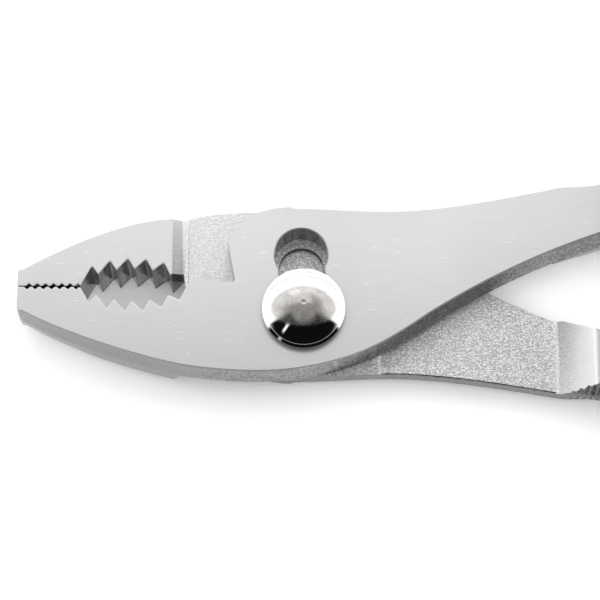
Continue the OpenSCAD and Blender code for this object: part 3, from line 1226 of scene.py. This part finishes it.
    def build(self, finishes: list[Material]) -> Object:
        """Makes the half and puts it in its place.

        Args:
            finishes: Materials in the order of Surface.

        Returns:
            The finished half.
        """
        obj = self.blank()
        over = self.side is Side.BACK
        self.lift_tip(obj, over)
        cut(obj, bar("crossing_tool", self.crossing_profile(), self.cross_reach))
        self.ease_web(obj)
        if over:
            self.cut_bore(obj)
        else:
            self.cut_slot(obj)
        for finish in finishes:
            obj.data.materials.append(finish)
        self.finish_faces(obj)
        smooth(obj, self.smooth_angle)
        place = Matrix.Translation((0, self.pivot_drop * MM, self.back_z * MM))
        if over:
            place = place @ Matrix.Translation((0, 0, self.thickness * MM)) @ Matrix.Rotation(math.pi, 4, "X")
        settle(obj, place)
        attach(obj, self.side.value)
        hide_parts(self.side.value)
        return obj


# The pivot


@dataclass
class PivotBolt:
    """Dome-headed bolt: flatted shank in the slot, round journal, threaded tail."""

    head_d: float = 14.4
    rim_h: float = 1.5
    dome_h: float = 3.2
    rim_bevel: float = 0.5
    bevel_h: float = 0.3
    rim_ledge: float = 0.05
    dome_power: float = 1.8
    dome_steps: int = 36
    head_ease: float = 0.1
    mark_d: float = 0.9
    mark_depth: float = 0.12
    head_z: float = 14.06
    joint_z: float = 8.28
    journal_z: float = 3.4
    shank_d: float = 9.3
    shank_w: float = 8.0
    journal_d: float = 7.6
    tail_d: float = 6.0
    thread_pitch: float = 1.0
    thread_depth: float = 0.35
    slot_lean: float = 2.3
    tail_ease: Point = (0.25, 0.2)
    thread_start: float = 0.3
    thread_flat: Point = (0.35, 0.5)
    mark_share: float = 0.3
    mark_rise: float = 0.02
    mark_flat: float = 0.1
    flat_play: float = 0.01
    smooth_angle: float = 30.0

    def profile(self) -> list[Point]:
        """Half section of the bolt from the end of the tail to the top of the dome.

        Returns:
            Points of radius and height.
        """
        tail, journal, shank = self.tail_d / 2, self.journal_d / 2, self.shank_d / 2
        root, base = tail - self.thread_depth, self.head_z
        found = [(0.0, 0.0), (root - self.tail_ease[0], 0.0), (root, self.tail_ease[1])]
        z = self.thread_start
        while z + self.thread_pitch < self.journal_z:
            found += [(tail, z + rise) for rise in self.thread_flat]
            z += self.thread_pitch
            found.append((root, z))
        found += [(tail, self.journal_z), (journal, self.journal_z), (journal, self.joint_z)]
        found += [(shank, self.joint_z), (shank, base)]
        rim, top = self.head_d / 2, base + self.rim_h
        foot = rim - self.rim_bevel - self.rim_ledge
        found += [(rim - self.head_ease, base), (rim, base + self.head_ease), (rim, top - self.bevel_h)]
        found.append((rim - self.rim_bevel, top))
        for i in range(self.dome_steps + 1):
            r = foot + (self.mark_d / 2 - foot) * i / self.dome_steps
            found.append((r, top + self.dome_h * (1 - (r / foot) ** self.dome_power)))
        floor = found[-1][1] - self.mark_depth
        found.append((self.mark_share * self.mark_d, floor + self.mark_rise))
        found += [(self.mark_flat, floor), (0.0, floor)]
        return found

    def build(self, finish: Material) -> Object:
        """Turns the bolt and planes the flats of its shank.

        Args:
            finish: Its material.

        Returns:
            The finished bolt.
        """
        obj = turn_profile("pivot_bolt_turned", self.profile(), TURN_STEPS)
        half, far = self.shank_w / 2, self.shank_d
        for sign in (-1, 1):
            x0, x1 = sorted((sign * half, sign * far))
            ring = [Vector(p) for p in ((x0, -far), (x1, -far), (x1, far), (x0, far))]
            flat = turned(ring, self.slot_lean)
            cut(obj, prism("flat_tool", flat, self.joint_z - self.flat_play, self.head_z))
        obj.data.materials.append(finish)
        smooth(obj, self.smooth_angle)
        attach(obj, "pivot")
        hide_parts("pivot_bolt")
        return obj


@dataclass
class PivotNut:
    """Hexagon nut on the bolt's tail, bevelled on its outer face."""

    across: float = 12.0
    height: float = 3.0
    foot_z: float = 0.4
    bore_d: float = 6.04
    ease: float = 0.15
    mouth: Point = (0.35, 0.3)
    overcut: float = 1.0
    bevel_inset: Point = (0.1, 0.06)
    bore_steps: int = 72
    smooth_angle: float = 30.0

    def build(self, finish: Material) -> Object:
        """Makes the nut: a hexagon cut by a turned bevel and bored.

        Args:
            finish: Its material.

        Returns:
            The finished nut.
        """
        flat, bore, over = self.across / 2, self.bore_d / 2, self.overcut
        low, high, corner = self.foot_z, self.foot_z + self.height, flat / math.cos(math.pi / 6)
        obj = prism("pivot_nut_hexagon", [corner * heading(60 * i) for i in range(6)], low, high)
        with whole_mesh(obj):
            bpy.ops.mesh.bevel(offset=self.ease * MM, segments=2, affect="EDGES")
        far, (inset, dip) = corner + 2 * over, self.bevel_inset
        bevel = [(flat - inset, low - over), (far, low - over), (far, low + far - flat),
                 (flat - inset, low - dip)]
        cut(obj, turn_profile("bevel_tool", bevel, TURN_STEPS))
        (drop, rise), top = self.mouth, high + over
        hole = [(0.0, low - over), (bore + over + drop, low - over), (bore, low + drop), (bore, high - rise),
                (bore + over + rise, top), (0.0, top)]
        cut(obj, turn_profile("bore_tool", hole, self.bore_steps))
        obj.data.materials.append(finish)
        smooth(obj, self.smooth_angle)
        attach(obj, "pivot")
        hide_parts("pivot_nut")
        return obj


# The studio


@dataclass
class Studio:
    """Pale floor, soft light and the camera of the photograph."""

    aim: Point3 = (-0.63, 1.88, 13.98)
    elevation: float = 72.0
    distance: float = 415.5
    lens: float = 143.1
    floor_size: float = 6.0
    floor_tone: float = 0.9
    floor_shown: float = 1.12
    floor_seen: float = 1.25
    lamp_power: float = 13.7
    lamp_size: float = 1.8
    lamp_place: Point3 = (0.0, 0.03, 1.0)
    card_size: Point = (0.24, 0.21)
    card_place: Point3 = (-0.035, 0.147, 0.164)
    card_power: float = 0.12
    ceiling: float = 0.51
    wall: float = 1.45
    wall_low: float = 0.5
    wall_high: float = 0.68
    paper_light: float = 0.22
    strip_side: Point3 = (-0.766, -0.643, 0.0)
    strip_light: float = 1.0
    strip_half: Point = (0.03, 0.06)
    strip_low: Point = (0.42, 0.5)
    strip_high: Point = (0.6, 0.7)
    near_edge: Point = (-0.23, -0.11)
    near_top: Point = (0.77, 0.83)
    near_foot: Point = (0.22, 0.34)
    foot_light: float = 0.8
    near_tone: float = 0.004
    strip_ahead: float = 0.1
    sensor: float = 36.0
    clip: Point = (0.01, 50.0)

    def camera(self) -> None:
        """Adds the camera and makes it the scene's own."""
        back = math.radians(self.elevation)
        place = Vector(self.aim) + self.distance * Vector((0, -math.cos(back), math.sin(back)))
        clear_selection()
        bpy.ops.object.camera_add(location=place * MM, rotation=(math.pi / 2 - back, 0, 0))
        camera = bpy.context.object
        camera.data.lens = self.lens
        camera.data.sensor_width = self.sensor
        camera.data.clip_start, camera.data.clip_end = self.clip
        bpy.context.scene.camera = camera

    def floor(self) -> None:
        """Adds the pale floor that the pliers lie on."""
        clear_selection()
        bpy.ops.mesh.primitive_plane_add(size=self.floor_size, location=(0, 0, 0))
        floor = bpy.context.object
        floor.name = "floor"
        material = bpy.data.materials.new("floor_paper")
        material.use_nodes = True
        board = NodeBoard(material.node_tree)
        path = board.add("LightPath").outputs
        shown = board.math("ADD", path["Is Glossy Ray"], path["Is Transmission Ray"])
        tone = board.blend(shown, grey(self.floor_tone), grey(self.floor_shown))
        tone = board.blend(path["Is Camera Ray"], tone, grey(self.floor_seen))
        paper = board.add("BsdfDiffuse", {"Color": tone})
        board.add("OutputMaterial", {"Surface": paper.outputs["BSDF"]})
        floor.data.materials.append(material)

    def lamp(self) -> None:
        """Adds the lamp overhead, which lights the floor."""
        clear_selection()
        turn = Vector(self.lamp_place).to_track_quat("Z", "Y").to_euler()
        bpy.ops.object.light_add(type="AREA", location=self.lamp_place, rotation=turn)
        lamp = bpy.context.object
        lamp.name = "soft_lamp"
        lamp.data.shape = "DISK"
        lamp.data.size = self.lamp_size
        lamp.data.energy = self.lamp_power
        lamp.visible_camera = lamp.visible_glossy = False

    def card(self) -> None:
        """Adds the pale card over the far side, which only the metal shows."""
        clear_selection()
        bpy.ops.object.light_add(type="AREA", location=self.card_place)
        card = bpy.context.object
        card.name = "pale_card"
        card.data.shape = "RECTANGLE"
        card.data.size, card.data.size_y = self.card_size
        card.data.energy = self.card_power
        card.visible_camera = card.visible_diffuse = False

    def room(self) -> None:
        """Sets the world, which is white for the camera and even for dull faces.

        Metal sees a grey ceiling, white walls and a near side that is dark above a light foot.
        """
        world = bpy.data.worlds.new("studio")
        bpy.context.scene.world = world
        world.use_nodes = True
        board = NodeBoard(world.node_tree)
        direction = board.add("TexCoord").outputs["Generated"]
        parts = board.add("SeparateXYZ", {"Vector": direction})
        tone = board.blend(board.ramp(parts.outputs["Z"], self.wall_low, self.wall_high, 1.0, 0.0),
                           grey(self.ceiling, 0.01), grey(self.wall))
        ahead = board.ramp(parts.outputs["Y"], *self.near_edge, 1.0, 0.0)
        near = board.math("MULTIPLY", ahead, board.ramp(parts.outputs["Z"], *self.near_top, 1.0, 0.0))
        above = board.ramp(parts.outputs["Z"], *self.near_foot)
        tone = board.blend(near, tone, board.blend(above, grey(self.foot_light), grey(self.near_tone)))
        tone = board.blend(self.strip(board, direction, parts.outputs["Z"]), tone, grey(self.strip_light))
        path = board.add("LightPath").outputs
        tone = board.blend(path["Is Diffuse Ray"], tone, grey(self.paper_light))
        tone = board.blend(path["Is Camera Ray"], tone, grey(1.0))
        background = board.add("Background", {"Color": tone, "Strength": 1.0})
        board.add("OutputWorld", {"Surface": background.outputs["Background"]})

    def strip(self, board: NodeBoard, direction: Socket, height: Socket) -> Socket:
        """Marks the narrow strip of window on the near side that glints in the dome.

        Args:
            board: The world's nodes.
            direction: Direction of the ray.
            height: Its upward part.

        Returns:
            1 in the strip and 0 elsewhere.
        """
        x, y, _ = self.strip_side
        ahead, aside = (
            board.add("VectorMath", {0: direction, 1: way}, operation="DOT_PRODUCT").outputs["Value"]
            for way in (self.strip_side, (-y, x, 0.0))
        )
        share = board.ramp(board.math("ABSOLUTE", aside, 0.0), *self.strip_half, 1.0, 0.0)
        bounds = (board.ramp(height, *self.strip_low), board.ramp(height, *self.strip_high, 1.0, 0.0),
                  board.ramp(ahead, 0.0, self.strip_ahead))
        for bound in bounds:
            share = board.math("MULTIPLY", share, bound)
        return share

    def build(self) -> None:
        """Sets up camera, floor, lamp, card and world."""
        self.camera()
        self.floor()
        self.lamp()
        self.card()
        self.room()
        bpy.context.scene.view_settings.view_transform = "Standard"


def main() -> None:
    """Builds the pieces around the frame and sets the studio."""
    logging.basicConfig(level=logging.INFO, format="%(message)s")
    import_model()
    ground, teeth = GroundSatin("ground_satin").material(), CutTooth("cut_tooth").material()
    front_calm = {"calm": 0.15, "calm_from": -12.0, "calm_to": -28.0}
    back_calm = {"calm_from": -6.0, "calm_to": -11.0}
    # Painted shade: the side finishes are darker copies of the forged skin. They stand for the shade and dark
    # reflections that the sides get, and partly for their duller trimmed skin. The back half's low sides are
    # darkest.
    sides = {"calm_light": 0.25, "metal": 1.0, "grain": 0.45, "ramp_sheen": 0.0}
    front_skin = AsForged("front_skin", **front_calm).material()
    front_shaded_side = AsForged("front_shaded_side", light=0.4, dark=0.06, rough=0.2, knurl_shade_keep=0.75,
                          **sides, **front_calm).material()
    back_skin = AsForged("back_skin", calm_light=0.66, calm=0.5, light_before=-20.2, **back_calm).material()
    back_shaded_side = AsForged("back_shaded_side", light=0.24, dark=0.04, rough=0.22, knurl_shade_keep=0.8, calm=0.3,
                         **sides, **back_calm).material()
    front = ForgedHalf(Side.FRONT, tip_depth=4.4, jaw_depth=14.3, cheek=13, step=16, grip_depth=4.6,
                       grip_end_depth=2.5, stagger=0.0, other_plate=4.8, crest_rise=28.0, waist_drop=5.8)
    back = ForgedHalf(Side.BACK, tip_depth=3.1, jaw_depth=12.9, cheek=0, step=58, grip_depth=5.2,
                      grip_end_depth=4.3, stagger=0.35, other_plate=5.7, crest_rise=25.5, waist_drop=7.3)
    pieces = [
        front.build([ground, front_skin, teeth, front_shaded_side]),
        back.build([ground, back_skin, teeth, back_shaded_side]),
        PivotBolt().build(PolishedPlate("polished_plate").material()),
        PivotNut().build(PlatedSteel("plated_steel").material()),
    ]
    for piece in pieces:
        LOG.info("%s: %d faces", piece.name, len(piece.data.polygons))
    Studio().build()
    clear_selection()


if __name__ == "__main__":
    main()
